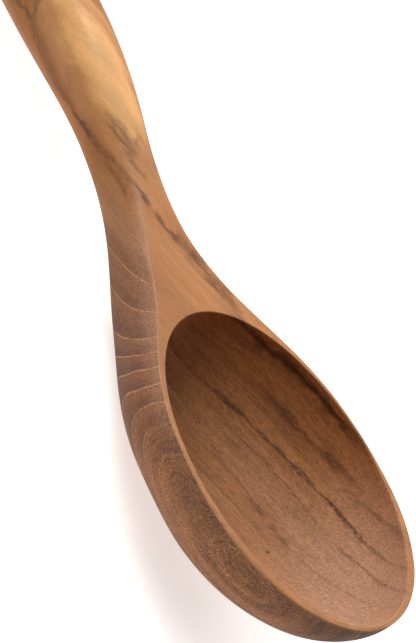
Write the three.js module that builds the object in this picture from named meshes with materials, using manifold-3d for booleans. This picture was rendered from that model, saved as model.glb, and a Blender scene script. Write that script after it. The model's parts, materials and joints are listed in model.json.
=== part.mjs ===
// A wooden ladle carved from one blank: an oval bowl with a flat deck, a slim neck and a swelling handle.
// Millimetres, +Z up. The carving is shaped about the centre of the bowl's mouth, with +X towards the
// bowl's tip and +Z out of the mouth, and is then tilted to lie as it rests on a table.

import * as THREE from "three";
import { mergeVertices, toCreasedNormals } from "three/addons/utils/BufferGeometryUtils.js";
import Module from "manifold-3d";

const wasm = await Module();
wasm.setup();

// Sizes of the bowl
const OVERALL_LENGTH = 300;
const MOUTH_LENGTH = 96;
const MOUTH_WIDTH = 77;
const HOLLOW_DEPTH = 27;
const FLOOR_THICKNESS = 3.5;
const RIM_LAND_AT_SIDE = 1.5;
const RIM_LAND_AT_TIP = 1.2;
const RIM_ROUND = 1.2;
const WIDEST_AHEAD_OF_MOUTH_CENTRE = 3.5;
const DEEPEST_BEHIND_MOUTH_CENTRE = 2;

// Sizes of the deck and the neck
const DECK_BEHIND_MOUTH = 9;
const ARRIS_RUN_OUT = 42;
const WAIST_BEHIND_MOUTH = 33.5;
const WAIST_WIDTH = 19.5;
const WAIST_BELOW_DECK = 13.7;
const WAIST_UNDERSIDE_RISE = THREE.MathUtils.degToRad(23.5);

// Sizes of the handle
const SWELL_BEHIND_WAIST = 61;
const SWELL_WIDTH = 23.3;
const SWELL_THICKNESS = 23.9;
const SWELL_ABOVE_DECK = 16.2;
const SWELL_TOP_RISE = THREE.MathUtils.degToRad(1.3);
const BUTT_WIDTH = 19;
const BUTT_THICKNESS = 18;
const BUTT_ABOVE_DECK = 15;
const BUTT_TAPER = THREE.MathUtils.degToRad(3);
const BUTT_ROUND = 10;
const CROWN_FLAT = 1;

// How far each curve holds the direction of its two ends, as a share of the run between them
const NOSE_HOLD = { leave: 0.51, arrive: 0.64 };
const SHOULDER_HOLD = { leave: 0.54, arrive: 0.46 };
const GRIP_HOLD = { leave: 0.4, arrive: 0.5 };
const KEEL_NOSE_HOLD = { leave: 0.65, arrive: 0.39 };
const KEEL_NECK_HOLD = { leave: 0.78, arrive: 0.25 };
const KEEL_GRIP_HOLD = { leave: 0.38, arrive: 0.33 };
const CREST_HOLD = { leave: 0.34, arrive: 0.42 };
const TAIL_HOLD = { leave: 0.33, arrive: 0.33 };
const ROUND_HOLD = 4 / 3 * (Math.SQRT2 - 1);

// Squareness of the sections: 2 is an ellipse, more is fuller at the corners
const BOWL_SQUARENESS = 2.2;
const NECK_SQUARENESS = 2.5;
const HOLLOW_SQUARENESS = 2;
const HANDLE_SQUARENESS = 2;

// Fineness of the facets
const STEPS_PER_RUN = 14;
const STEPS_PER_LINE = 60;
const STEPS_ROUND_ARRIS = 6;
const STEPS_ROUND_KEEL = 12;
const MOUTH_SIDES = 72;
const HOLLOW_STEPS = 14;
const CREASE_ANGLE = THREE.MathUtils.degToRad(30);

// Places along the ladle
const TIP_X = MOUTH_LENGTH / 2 + RIM_LAND_AT_TIP;
const WIDEST_X = WIDEST_AHEAD_OF_MOUTH_CENTRE;
const DEEPEST_X = -DEEPEST_BEHIND_MOUTH_CENTRE;
const DECK_END_X = -MOUTH_LENGTH / 2 - DECK_BEHIND_MOUTH;
const WAIST_X = -MOUTH_LENGTH / 2 - WAIST_BEHIND_MOUTH;
const SWELL_X = WAIST_X - SWELL_BEHIND_WAIST;
const BUTT_X = TIP_X - OVERALL_LENGTH;
const BUTT_SHOULDER_X = BUTT_X + BUTT_ROUND;
const BUTT_CENTRE_Z = BUTT_ABOVE_DECK - BUTT_THICKNESS / 2;

// Carries a line from one station to the next, leaving and arriving along the stations' own slopes.
function sweep(line, from, to, hold) {
  const run = from.x - to.x;
  const leave = hold.leave * run;
  const arrive = hold.arrive * run;
  line.bezierCurveTo(
    from.x - leave, from.y - leave * from.slope,
    to.x + arrive, to.y + arrive * to.slope,
    to.x, to.y,
  );
}

// Starts a line straight across the tip and turns it into its first station.
function roundNose(line, start, to, hold) {
  line.moveTo(start.x, start.y);
  line.bezierCurveTo(
    start.x, start.y + hold.leave * (to.y - start.y),
    to.x + hold.arrive * (start.x - to.x), to.y,
    to.x, to.y,
  );
}

// Ends a line straight across the butt.
function roundButt(line, from, end) {
  const reach = ROUND_HOLD * (from.x - end.x);
  line.bezierCurveTo(
    from.x - reach, from.y - reach * from.slope,
    end.x, end.y + ROUND_HOLD * (from.y - end.y),
    end.x, end.y,
  );
}

// Half the ladle's width, from tip to butt, seen from above.
function outlineLine() {
  const widest = { x: WIDEST_X, y: MOUTH_WIDTH / 2 + RIM_LAND_AT_SIDE, slope: 0 };
  const waist = { x: WAIST_X, y: WAIST_WIDTH / 2, slope: 0 };
  const swell = { x: SWELL_X, y: SWELL_WIDTH / 2, slope: 0 };
  const shoulder = { x: BUTT_SHOULDER_X, y: BUTT_WIDTH / 2, slope: Math.tan(BUTT_TAPER) };
  const line = new THREE.Path();
  roundNose(line, { x: TIP_X, y: 0 }, widest, NOSE_HOLD);
  sweep(line, widest, waist, SHOULDER_HOLD);
  sweep(line, waist, swell, GRIP_HOLD);
  sweep(line, swell, shoulder, TAIL_HOLD);
  roundButt(line, shoulder, { x: BUTT_X, y: 0 });
  return line;
}

// The underside along the middle, seen from the side.
function keelLine() {
  const deepest = { x: DEEPEST_X, y: -HOLLOW_DEPTH - FLOOR_THICKNESS, slope: 0 };
  const waist = { x: WAIST_X, y: -WAIST_BELOW_DECK, slope: -Math.tan(WAIST_UNDERSIDE_RISE) };
  const swell = { x: SWELL_X, y: SWELL_ABOVE_DECK - SWELL_THICKNESS, slope: 0 };
  const shoulder = {
    x: BUTT_SHOULDER_X,
    y: BUTT_ABOVE_DECK - BUTT_THICKNESS,
    slope: -Math.tan(BUTT_TAPER),
  };
  const line = new THREE.Path();
  roundNose(line, { x: TIP_X, y: -RIM_ROUND }, deepest, KEEL_NOSE_HOLD);
  sweep(line, deepest, waist, KEEL_NECK_HOLD);
  sweep(line, waist, swell, KEEL_GRIP_HOLD);
  sweep(line, swell, shoulder, TAIL_HOLD);
  roundButt(line, shoulder, { x: BUTT_X, y: BUTT_CENTRE_Z });
  return line;
}

// The top along the middle: a rounded lip, the flat deck, and the rise on to the handle.
function crestLine() {
  const lip = { x: TIP_X - RIM_ROUND, y: 0, slope: 0 };
  const deckEnd = { x: DECK_END_X, y: 0, slope: 0 };
  const swell = { x: SWELL_X, y: SWELL_ABOVE_DECK, slope: -Math.tan(SWELL_TOP_RISE) };
  const shoulder = { x: BUTT_SHOULDER_X, y: BUTT_ABOVE_DECK, slope: Math.tan(BUTT_TAPER) };
  const line = new THREE.Path();
  roundNose(line, { x: TIP_X, y: -RIM_ROUND }, lip, { leave: ROUND_HOLD, arrive: ROUND_HOLD });
  line.lineTo(deckEnd.x, deckEnd.y);
  sweep(line, deckEnd, swell, CREST_HOLD);
  sweep(line, swell, shoulder, TAIL_HOLD);
  roundButt(line, shoulder, { x: BUTT_X, y: BUTT_CENTRE_Z });
  return line;
}

// A function that reads a line's height at any place along the ladle.
function reader(line) {
  const points = line.getPoints(STEPS_PER_LINE);
  return (x) => {
    const next = points.findIndex((point) => point.x <= x);
    if (next <= 0) return points[0].y;
    const [before, after] = [points[next - 1], points[next]];
    return THREE.MathUtils.mapLinear(x, before.x, after.x, before.y, after.y);
  };
}

// A quarter of a superellipse, from its widest point round to its foot, as shares of its two half axes.
function quarterRound(steps, squareness) {
  const points = [];
  for (let step = 1; step <= steps; step++) {
    const angle = step / steps * Math.PI / 2;
    const across = step < steps ? Math.cos(angle) ** (2 / squareness) : 0;
    points.push({ across, down: Math.sin(angle) ** (2 / squareness) });
  }
  return points;
}

// One half of a cross section, from the middle of the top round to the middle of the underside.
// The bowl and deck have a flat top with a small round arris, which runs out into an oval handle.
function halfSection(x, halfWidth, top, bottom) {
  const softness = THREE.MathUtils.smoothstep(-x, -DECK_END_X, -DECK_END_X + ARRIS_RUN_OUT);
  const halfHeight = (top - bottom) / 2;
  const rimFlat = halfWidth - Math.min(RIM_ROUND, halfWidth / 2);
  const crownFlat = Math.min(CROWN_FLAT, halfWidth / 2) / 2;
  const flat = THREE.MathUtils.lerp(rimFlat, crownFlat, softness);
  const drop = THREE.MathUtils.lerp(Math.min(RIM_ROUND, halfHeight), halfHeight, softness);
  const neckShare = THREE.MathUtils.smoothstep(-x, 0, MOUTH_LENGTH / 2);
  const headSquareness = THREE.MathUtils.lerp(BOWL_SQUARENESS, NECK_SQUARENESS, neckShare);
  const squareness = THREE.MathUtils.lerp(headSquareness, HANDLE_SQUARENESS, softness);
  const middle = top - drop;
  const points = [[0, top], [flat, top]];
  for (const { across, down } of quarterRound(STEPS_ROUND_ARRIS, HANDLE_SQUARENESS)) {
    points.push([flat + (halfWidth - flat) * down, middle + drop * across]);
  }
  for (const { across, down } of quarterRound(STEPS_ROUND_KEEL, squareness)) {
    points.push([halfWidth * across, middle + (bottom - middle) * down]);
  }
  return points;
}

// The outside of the ladle: cross sections lofted from tip to butt and closed to a point at each end.
function carvedBlank() {
  const outline = outlineLine();
  const keel = reader(keelLine());
  const crest = reader(crestLine());
  const stations = outline.getPoints(STEPS_PER_RUN).slice(1, -1);
  const positions = [TIP_X, 0, -RIM_ROUND];
  for (const { x, y } of stations) {
    const half = halfSection(x, y, crest(x), keel(x));
    const mirrored = half.slice(1, -1).reverse().map(([across, height]) => [-across, height]);
    for (const [across, height] of [...half, ...mirrored]) positions.push(x, across, height);
  }
  positions.push(BUTT_X, 0, BUTT_CENTRE_Z);

  const side = STEPS_ROUND_ARRIS + STEPS_ROUND_KEEL + 1;
  const around = 2 * side;
  const butt = stations.length * around + 1;
  const triangles = [];
  for (let step = 0; step < around; step++) {
    const next = (step + 1) % around;
    triangles.push(0, 1 + next, 1 + step);
    for (let ring = 1; ring < butt - around; ring += around) {
      const corners = [ring + step, ring + next, ring + around + next, ring + around + step];
      const split = step < side ? [0, 1, 2, 0, 2, 3] : [0, 1, 3, 1, 2, 3];
      triangles.push(...split.map((corner) => corners[corner]));
    }
    triangles.push(butt - around + step, butt - around + next, butt);
  }
  const geometry = new THREE.BufferGeometry();
  geometry.setAttribute("position", new THREE.Float32BufferAttribute(positions, 3));
  geometry.setIndex(triangles);
  return geometry;
}

// What the gouge takes out of the bowl: an oval turned form that opens straight up through the deck.
function hollow() {
  const opening = HOLLOW_DEPTH;
  const profile = quarterRound(HOLLOW_STEPS, HOLLOW_SQUARENESS).reverse()
    .map(({ across, down }) => new THREE.Vector2(across, -HOLLOW_DEPTH * down));
  profile.push(new THREE.Vector2(1, 0), new THREE.Vector2(1, opening), new THREE.Vector2(0, opening));
  return new THREE.LatheGeometry(profile, MOUTH_SIDES)
    .rotateX(Math.PI / 2)
    .scale(MOUTH_LENGTH / 2, MOUTH_WIDTH / 2, 1);
}

// A solid for cutting, from a closed geometry whose seams and poles are merged.
function solid(geometry) {
  geometry.deleteAttribute("normal");
  geometry.deleteAttribute("uv");
  const merged = mergeVertices(geometry);
  const corners = merged.index.array;
  const triangles = [];
  for (let start = 0; start < corners.length; start += 3) {
    const triangle = corners.slice(start, start + 3);
    if (new Set(triangle).size === 3) triangles.push(...triangle);
  }
  return new wasm.Manifold(new wasm.Mesh({
    numProp: 3,
    vertProperties: merged.attributes.position.array,
    triVerts: new Uint32Array(triangles),
  }));
}

function geometryOf(cut) {
  const { vertProperties, triVerts } = cut.getMesh();
  const geometry = new THREE.BufferGeometry();
  geometry.setAttribute("position", new THREE.BufferAttribute(vertProperties, 3));
  geometry.setIndex(new THREE.BufferAttribute(triVerts, 1));
  return toCreasedNormals(geometry, CREASE_ANGLE);
}

// The tilt at which the underside of the bowl and the end of the handle touch the same table.
function restTilt(geometry) {
  const { array } = geometry.attributes.position;
  let [least, most] = [0, Math.PI / 4];
  for (let step = 0; step < 40; step++) {
    const tilt = (least + most) / 2;
    let [bowl, handle] = [Infinity, Infinity];
    for (let start = 0; start < array.length; start += 3) {
      const height = array[start] * Math.sin(tilt) + array[start + 2] * Math.cos(tilt);
      if (array[start] > WAIST_X) bowl = Math.min(bowl, height);
      else handle = Math.min(handle, height);
    }
    if (handle > bowl) least = tilt;
    else most = tilt;
  }
  return least;
}

const wood = new THREE.MeshStandardMaterial({ color: "#9c6a3c", roughness: 0.55, metalness: 0 });

const ladle = new THREE.Mesh(geometryOf(solid(carvedBlank()).subtract(solid(hollow()))), wood);
ladle.name = "ladle";
ladle.rotation.y = -restTilt(ladle.geometry);

// The table is at zero height, below the middle of the ladle.
const group = new THREE.Group();
group.add(ladle);
const reach = new THREE.Box3().setFromObject(group, true);
const middle = reach.getCenter(new THREE.Vector3());
ladle.position.set(-middle.x, -middle.y, -reach.min.z);

export default group;
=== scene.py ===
"""A carved wooden ladle: its shape, its oiled wood and a pale stage, on the frame that the part gives."""

import bisect
import json
import math
from collections import namedtuple

import bmesh
import bpy
from bpy.props import FloatProperty, FloatVectorProperty, IntProperty, PointerProperty
from mathutils import Euler, Matrix, Vector
from mathutils.geometry import interpolate_bezier


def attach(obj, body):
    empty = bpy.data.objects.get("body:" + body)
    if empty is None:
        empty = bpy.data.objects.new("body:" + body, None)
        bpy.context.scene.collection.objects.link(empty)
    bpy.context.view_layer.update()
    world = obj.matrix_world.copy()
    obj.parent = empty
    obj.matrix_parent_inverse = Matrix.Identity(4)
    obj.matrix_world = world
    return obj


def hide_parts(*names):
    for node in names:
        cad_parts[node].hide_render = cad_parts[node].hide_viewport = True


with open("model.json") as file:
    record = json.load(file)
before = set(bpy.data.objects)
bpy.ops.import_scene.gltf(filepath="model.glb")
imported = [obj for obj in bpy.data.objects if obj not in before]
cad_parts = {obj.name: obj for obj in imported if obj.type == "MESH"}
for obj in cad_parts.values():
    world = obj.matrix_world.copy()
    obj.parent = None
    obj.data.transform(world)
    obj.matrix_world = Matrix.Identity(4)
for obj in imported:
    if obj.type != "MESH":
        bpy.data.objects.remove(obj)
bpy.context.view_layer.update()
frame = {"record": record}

bl_info = {
    "name": "Carved Wooden Ladle",
    "version": (1, 0, 0),
    "blender": (4, 5, 0),
    "location": "View3D > Sidebar > Ladle",
    "description": "Carves a ladle from one blank, oils its wood and lays it on a pale stage",
    "category": "Object",
}

MILLIMETRE = 0.001
PICTURE_LONG_SIDE = 643
SENSOR_WIDTH = 36
VIEW_REACH = 20
LINE_STEPS = 60
MOUTH_EDGE_TURN = 70
MOUTH_EDGE_STEP = 14
BESIDE_ARRIS = 0.3
SMOOTHINGS = 2
TOUCHING = 0.00001
CRISP_ANGLE = math.radians(35)

Knot = namedtuple("Knot", "x y slope")
Hold = namedtuple("Hold", "leave arrive")

# How long each run of a carved line holds the slopes of its two ends, as shares of the run.
ROUND_HOLD = 4 / 3 * (math.sqrt(2) - 1)
LIP = Hold(ROUND_HOLD, ROUND_HOLD)
EVEN = Hold(0.33, 0.33)
OUTLINE_NOSE = Hold(0.51, 0.64)
OUTLINE_BOWL = Hold(0.54, 0.46)
OUTLINE_NECK = Hold(0.4, 0.5)
KEEL_NOSE = Hold(0.65, 0.39)
KEEL_BOWL = Hold(0.78, 0.25)
KEEL_NECK = Hold(0.38, 0.33)
CREST_NECK = Hold(0.34, 0.42)


def size(name, millimetres, description):
    """A length that a user may change, given here in millimetres."""
    length = millimetres * MILLIMETRE
    return FloatProperty(name=name, description=description, default=length, unit="LENGTH")


def angle(name, degrees, description):
    """An angle that a user may change, given here in degrees."""
    turn = math.radians(degrees)
    return FloatProperty(name=name, description=description, default=turn, subtype="ANGLE")


def number(name, value, description):
    """A plain number."""
    return FloatProperty(name=name, description=description, default=value)


def whole(name, value, description):
    """A whole number."""
    return IntProperty(name=name, description=description, default=value)


def watts(name, value, description):
    """The power of a light."""
    return FloatProperty(name=name, description=description, default=value, unit="POWER")


def share(name, value, description):
    """A share between none and all."""
    return FloatProperty(name=name, description=description, default=value, subtype="FACTOR", min=0, max=1)


def colour(name, red, green, blue, description):
    """A colour in linear light."""
    shade = (red, green, blue, 1)
    return FloatVectorProperty(
        name=name, description=description, default=shade, subtype="COLOR", size=4, min=0, max=1
    )


def spot(name, x, y, z, description):
    """A point, given here in metres."""
    return FloatVectorProperty(
        name=name, description=description, default=(x, y, z), subtype="TRANSLATION", unit="LENGTH"
    )


class LadleShape(bpy.types.PropertyGroup):
    """Sizes of the carving, measured from the centre of the bowl's mouth."""

    overall_length: size("Length", 300, "From the bowl's tip to the butt of the handle")
    mouth_length: size("Mouth length", 96, "Opening of the hollow along the ladle")
    mouth_width: size("Mouth width", 77, "Opening of the hollow across the ladle")
    hollow_depth: size("Hollow depth", 27, "From the deck to the bottom of the hollow")
    floor_thickness: size("Floor", 3.5, "Wood left under the hollow")
    land_at_side: size("Land at side", 1.5, "Flat of the rim beside the mouth")
    land_at_tip: size("Land at tip", 1.2, "Flat of the rim ahead of the mouth")
    rim_round: size("Rim round", 0.6, "Rounding of the arris all round the rim and deck")
    mouth_round: size("Mouth round", 0.35, "Rounding of the hollow's edge")
    widest_ahead: size("Widest ahead", 3.5, "How far ahead of the mouth's centre the rim is widest")
    deepest_behind: size("Deepest behind", 2, "How far behind the mouth's centre the keel is lowest")
    deck_behind: size("Deck", 9, "Flat deck behind the mouth")
    arris_run_out: size("Arris run-out", 42, "Length over which the arris softens into the handle")
    waist_behind: size("Waist behind", 33.5, "From the mouth back to the slimmest part of the neck")
    waist_width: size("Waist width", 19.5, "Width of the neck at its slimmest")
    waist_below: size("Waist below", 13.7, "Underside of the neck below the deck's level")
    waist_rise: angle("Waist rise", 23.5, "Rise of the neck's underside")
    swell_behind: size("Swell behind", 61, "From the waist back to the thickest part of the handle")
    swell_width: size("Swell width", 23.3, "Width of the handle at its thickest")
    swell_thickness: size("Swell thickness", 23.9, "Height of the handle at its thickest")
    swell_above: size("Swell above", 16.2, "Top of the handle above the deck's level")
    swell_rise: angle("Swell rise", 1.3, "Rise of the handle's top at its thickest")
    butt_width: size("Butt width", 19, "Width of the handle where its end begins to round")
    butt_thickness: size("Butt thickness", 18, "Height of the handle where its end begins to round")
    butt_above: size("Butt above", 15, "Top of the handle's end above the deck's level")
    butt_taper: angle("Butt taper", 3, "Slope of the handle's sides near its end")
    butt_round: size("Butt round", 10, "Length of the rounded end")
    crown_flat: size("Crown flat", 1, "Narrow flat along the top of the handle")
    bowl_squareness: number("Bowl squareness", 2.2, "2 is an ellipse, more is fuller at the corners")
    neck_squareness: number("Neck squareness", 2.5, "2 is an ellipse, more is fuller at the corners")
    unevenness: size("Unevenness", 0.25, "Most that the hand finish stands off a true curve")
    hand_waves: size("Hand waves", 22, "Length of the waves that the hand finish leaves")
    steps_per_run: whole("Sections", 16, "Cross sections in each run of the outline")
    steps_round_arris: whole("Arris steps", 8, "Points round each arris")
    steps_round_keel: whole("Keel steps", 16, "Points from arris to keel")
    hollow_steps: whole("Hollow steps", 28, "Points down the hollow's profile")
    mouth_steps: whole("Mouth steps", 144, "Points round the mouth")


class LadleWood(bpy.types.PropertyGroup):
    """The log that the blank was sawn from, the colours of its oiled wood, and the colours of painted light
    and shade on it.
    """

    heart_place: spot("Heart", 0.0979, 0.0457, 0.0520, "A point on the heart of the log")
    heart_turn: FloatVectorProperty(
        name="Heart turn",
        description="How the heart of the log lies to the ladle",
        default=(0, math.radians(-3.68), math.radians(26.95)),
        subtype="EULER",
    )
    log_taper: number("Log taper", 0.059, "Growth in radius along the log")
    log_turns: size("Log turns", -168, "Where the log begins to turn with the back of the handle")
    turn_slope: number("Turn slope", 0.58, "How steeply the log turns there")
    first_ring: size("First ring", 17.6, "Radius of the first growth ring in the blank")
    wide_ring: size("Wide ring", 7.0, "Width of the quick-grown rings near the heart")
    narrow_ring: size("Narrow ring", 4.27, "Width of the slow-grown rings further out")
    ring_waver: size("Ring waver", 0.35, "How far the rings wander off true circles")
    slow_growth: size("Slow growth", 45.4, "Radius past which the rings are narrow")
    pin_hole: spot("Pin hole", 0.0120, 0.0100, -0.0251, "A small hole in the hollow, from its mouth")
    # Partly the golden wood of the heart and partly a painted highlight on the top of the handle.
    golden: colour("Golden heart", 0.86, 0.450, 0.172, "Wood nearest the heart")
    straw: colour("Straw", 0.54, 0.238, 0.088, "Pale wood round the golden heart")
    honey: colour("Honey", 0.490, 0.208, 0.074, "Light bands of the oiled wood")
    amber: colour("Amber", 0.460, 0.188, 0.066, "Wood between the light and the main bands")
    tan: colour("Tan", 0.378, 0.157, 0.057, "Main colour of the oiled wood")
    brown: colour("Brown", 0.416, 0.170, 0.059, "Darker bands of the oiled wood")
    rosy: colour("Rosy", 0.395, 0.175, 0.072, "Wood further out, with a touch of pink")
    # Painted sheen: a paler, pinker colour laid in the hollow towards the bowl's tip.
    blush: colour("Blush", 0.56, 0.330, 0.218, "Paler wood towards the bowl's tip")
    # Painted light: a pale colour laid on the neck's side under the arris, and as a painted highlight along
    # the crisp arris.
    worn: colour("Worn", 0.540, 0.290, 0.165, "Wood paled by handling along the neck's arris")
    # Painted shade: a darkening tint laid on the handle's steep sides.
    painted_grip_shade: colour("Grip side", 0.89, 0.79, 0.51, "Tint of the handle's sides, darkened by hands")
    late: colour("Late wood", 0.175, 0.072, 0.030, "Dark late wood of each ring")
    dusk: colour("Ring dusk", 0.56, 0.52, 0.53, "Tint of each ring towards its end, where cut across")
    ring_line: colour("Ring line", 0.52, 0.26, 0.12, "Thin pale line between two rings")
    streak: colour("Streak", 0.080, 0.036, 0.019, "Grey mineral streaks")
    end_grain: colour("End grain", 0.61, 0.59, 0.62, "Tint of inner wood cut across")
    outer_end_grain: colour("Outer end grain", 0.595, 0.48, 0.395, "Tint of outer wood cut across")
    pore: colour("Pore", 0.080, 0.036, 0.019, "Inside of the open pores")


class LadleStage(bpy.types.PropertyGroup):
    """Camera, floor and light."""

    view_azimuth: angle("Azimuth", 21.013, "Turn of the camera, from straight across the ladle")
    view_elevation: angle("Elevation", 31.15, "Height of the camera over the deck's plane")
    view_roll: angle("Roll", 50.309, "Turn of the camera about its own axis")
    view_distance: size("Distance", 900, "From the camera to what it looks at")
    view_scale: number("Scale", 3.8094, "Pixels to a millimetre in the picture")
    view_centre: spot("Centre", -0.04476, -0.00085, 0, "What the camera looks at, from the mouth's centre")
    surroundings: colour("Surroundings", 0.95, 0.95, 0.95, "What shows past the floor")
    floor_size: size("Floor size", 12000, "Length of the floor's sides")
    floor_colour: colour("Floor", 0.9, 0.9, 0.9, "Pale floor")
    floor_glow: number("Floor glow", 0.60, "Light from the floor itself")
    floor_mirrored: share("Floor mirrored", 0.45, "How much of the floor's light shows in the wood's sheen")
    lit_place: spot("Lit place", 0.05, 0, 0.02, "What the lights are turned to")
    light_distance: size("Light distance", 1600, "From the lights to what they are turned to")
    panel_size: size("Panel size", 800, "Length of the panels' sides")
    key_power: watts("Key", 32, "Power of the panels over the handle")
    side_power: watts("Side", 27, "Power of the low panels behind the ladle")
    fill_power: watts("Fill", 2.5, "Power of the light ahead of the bowl")
    sheen_colour: colour("Sheen colour", 1, 0.92, 0.80, "Colour of the lights that show only in the sheen")
    sheen_size: size("Sheen size", 900, "Length of the sides of the light in the sheen of the deck")
    sheen_power: watts("Sheen", 6.5, "Power of the light in the sheen of the deck")
    glint_size: size("Glint size", 500, "Length of the sides of the light that glints on the handle")
    glint_power: watts("Glint", 9, "Power of the light that glints on the handle")


class CarvedLine:
    """A curve from the bowl's tip to the butt, read by its place along the ladle."""

    def __init__(self, x, y, steps=LINE_STEPS):
        self.steps = steps
        self.points = [Vector((x, y, 0))]

    def straight_to(self, x, y):
        """Goes straight on to a point."""
        self.points.append(Vector((x, y, 0)))

    def curve_to(self, leave, arrive, end):
        """Goes on along a curve with the two given handles."""
        corners = [Vector((*corner, 0)) for corner in (leave, arrive, end)]
        self.points += interpolate_bezier(self.points[-1], *corners, self.steps + 1)[1:]

    def round_nose(self, to, hold):
        """Leaves the tip straight across and turns into the first knot."""
        start = self.points[-1]
        leave = (start.x, start.y + hold.leave * (to.y - start.y))
        arrive = (to.x + hold.arrive * (start.x - to.x), to.y)
        self.curve_to(leave, arrive, (to.x, to.y))

    def sweep(self, start, to, hold):
        """Goes from one knot to the next along the knots' own slopes."""
        run = start.x - to.x
        leave = (start.x - hold.leave * run, start.y - hold.leave * run * start.slope)
        arrive = (to.x + hold.arrive * run, to.y + hold.arrive * run * to.slope)
        self.curve_to(leave, arrive, (to.x, to.y))

    def round_butt(self, start, x, y):
        """Ends straight across the butt."""
        reach = ROUND_HOLD * (start.x - x)
        leave = (start.x - reach, start.y - reach * start.slope)
        self.curve_to(leave, (x, y + ROUND_HOLD * (start.y - y)), (x, y))

    def height(self, x):
        """Where the line is at a place along the ladle."""
        after = bisect.bisect_left(self.points, -x, key=lambda point: -point.x)
        if after == 0:
            return self.points[0].y
        before, after = self.points[after - 1], self.points[min(after, len(self.points) - 1)]
        if before.x == after.x:
            return after.y
        return before.y + (after.y - before.y) * (before.x - x) / (before.x - after.x)


def blend(first, last, amount):
    """A value between two others."""
    return first + (last - first) * amount


def ease(value, start, end):
    """Rises smoothly from none to all between two places."""
    amount = min(max((value - start) / (end - start), 0), 1)
    return amount * amount * (3 - 2 * amount)


class Carving:
    """The lines and cross sections of the ladle, about the centre of its mouth."""

    def __init__(self, shape):
        self.shape = shape
        self.tip = shape.mouth_length / 2 + shape.land_at_tip
        self.deck_end = -shape.mouth_length / 2 - shape.deck_behind
        self.waist = -shape.mouth_length / 2 - shape.waist_behind
        self.swell = self.waist - shape.swell_behind
        self.butt = self.tip - shape.overall_length
        self.shoulder = self.butt + shape.butt_round
        self.butt_height = shape.butt_above - shape.butt_thickness / 2
        self.outline = self.outline_line()
        self.keel = self.keel_line()
        self.crest = self.crest_line()

    def outline_line(self):
        """Half the width from tip to butt, seen from above."""
        shape = self.shape
        widest = Knot(shape.widest_ahead, shape.mouth_width / 2 + shape.land_at_side, 0)
        waist = Knot(self.waist, shape.waist_width / 2, 0)
        swell = Knot(self.swell, shape.swell_width / 2, 0)
        shoulder = Knot(self.shoulder, shape.butt_width / 2, math.tan(shape.butt_taper))
        line = CarvedLine(self.tip, 0, shape.steps_per_run)
        line.round_nose(widest, OUTLINE_NOSE)
        line.sweep(widest, waist, OUTLINE_BOWL)
        line.sweep(waist, swell, OUTLINE_NECK)
        line.sweep(swell, shoulder, EVEN)
        line.round_butt(shoulder, self.butt, 0)
        return line

    def keel_line(self):
        """The underside along the middle, seen from the side."""
        shape = self.shape
        deepest = Knot(-shape.deepest_behind, -shape.hollow_depth - shape.floor_thickness, 0)
        waist = Knot(self.waist, -shape.waist_below, -math.tan(shape.waist_rise))
        swell = Knot(self.swell, shape.swell_above - shape.swell_thickness, 0)
        shoulder = Knot(self.shoulder, shape.butt_above - shape.butt_thickness, -math.tan(shape.butt_taper))
        line = CarvedLine(self.tip, -shape.rim_round)
        line.round_nose(deepest, KEEL_NOSE)
        line.sweep(deepest, waist, KEEL_BOWL)
        line.sweep(waist, swell, KEEL_NECK)
        line.sweep(swell, shoulder, EVEN)
        line.round_butt(shoulder, self.butt, self.butt_height)
        return line

    def crest_line(self):
        """The top along the middle: a rounded lip, the flat deck, and the rise on to the handle."""
        shape = self.shape
        lip = Knot(self.tip - shape.rim_round, 0, 0)
        deck_end = Knot(self.deck_end, 0, 0)
        swell = Knot(self.swell, shape.swell_above, -math.tan(shape.swell_rise))
        shoulder = Knot(self.shoulder, shape.butt_above, math.tan(shape.butt_taper))
        line = CarvedLine(self.tip, -shape.rim_round)
        line.round_nose(lip, LIP)
        line.straight_to(deck_end.x, deck_end.y)
        line.sweep(deck_end, swell, CREST_NECK)
        line.sweep(swell, shoulder, EVEN)
        line.round_butt(shoulder, self.butt, self.butt_height)
        return line

    def half_section(self, x, half_width):
        """Points from the middle of the top round to the middle of the underside, on one side."""
        shape = self.shape
        top, bottom = self.crest.height(x), self.keel.height(x)
        softness = ease(-x, -self.deck_end, -self.deck_end + shape.arris_run_out)
        half_height = (top - bottom) / 2
        rim_round = min(shape.rim_round, half_width / 2)
        flat = blend(half_width - rim_round, min(shape.crown_flat, half_width / 2) / 2, softness)
        drop = blend(min(shape.rim_round, half_height), half_height, softness)
        head = blend(shape.bowl_squareness, shape.neck_squareness, ease(-x, 0, shape.mouth_length / 2))
        power = 2 / blend(head, 2, softness)
        middle = top - drop
        inner = flat - min(rim_round, flat * BESIDE_ARRIS)
        points = [(across, top) for across in (0, flat / 2, inner, flat)]
        for step in range(1, shape.steps_round_arris + 1):
            turn = math.pi / 2 * step / shape.steps_round_arris
            points.append((flat + (half_width - flat) * math.sin(turn), middle + drop * math.cos(turn)))
        for step in range(1, shape.steps_round_keel):
            turn = math.pi / 2 * step / shape.steps_round_keel
            down = math.sin(turn) ** power
            points.append((half_width * math.cos(turn) ** power, blend(middle, bottom, down)))
        points.append((0, bottom))
        return points

    def sections(self):
        """Closed cross sections from tip to butt."""
        rings = []
        for station in self.outline.points[1:-1]:
            half = self.half_section(station.x, station.y)
            other = [(-across, height) for across, height in reversed(half[1:-1])]
            rings.append([Vector((station.x, across, height)) for across, height in half + other])
        return rings

    def place(self):
        """Lays the carving where the part's deck lies in the frame."""
        deck = next(mount for mount in frame["record"]["mounts"] if mount["name"] == "deck")
        lean = math.atan2(deck["axis"][0], deck["axis"][2])
        behind = (self.shape.mouth_length + self.shape.deck_behind) / 2
        turned = Matrix.Translation(deck["pos_m"]) @ Matrix.Rotation(lean, 4, "Y")
        return turned @ Matrix.Translation((behind, 0, 0))


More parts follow.
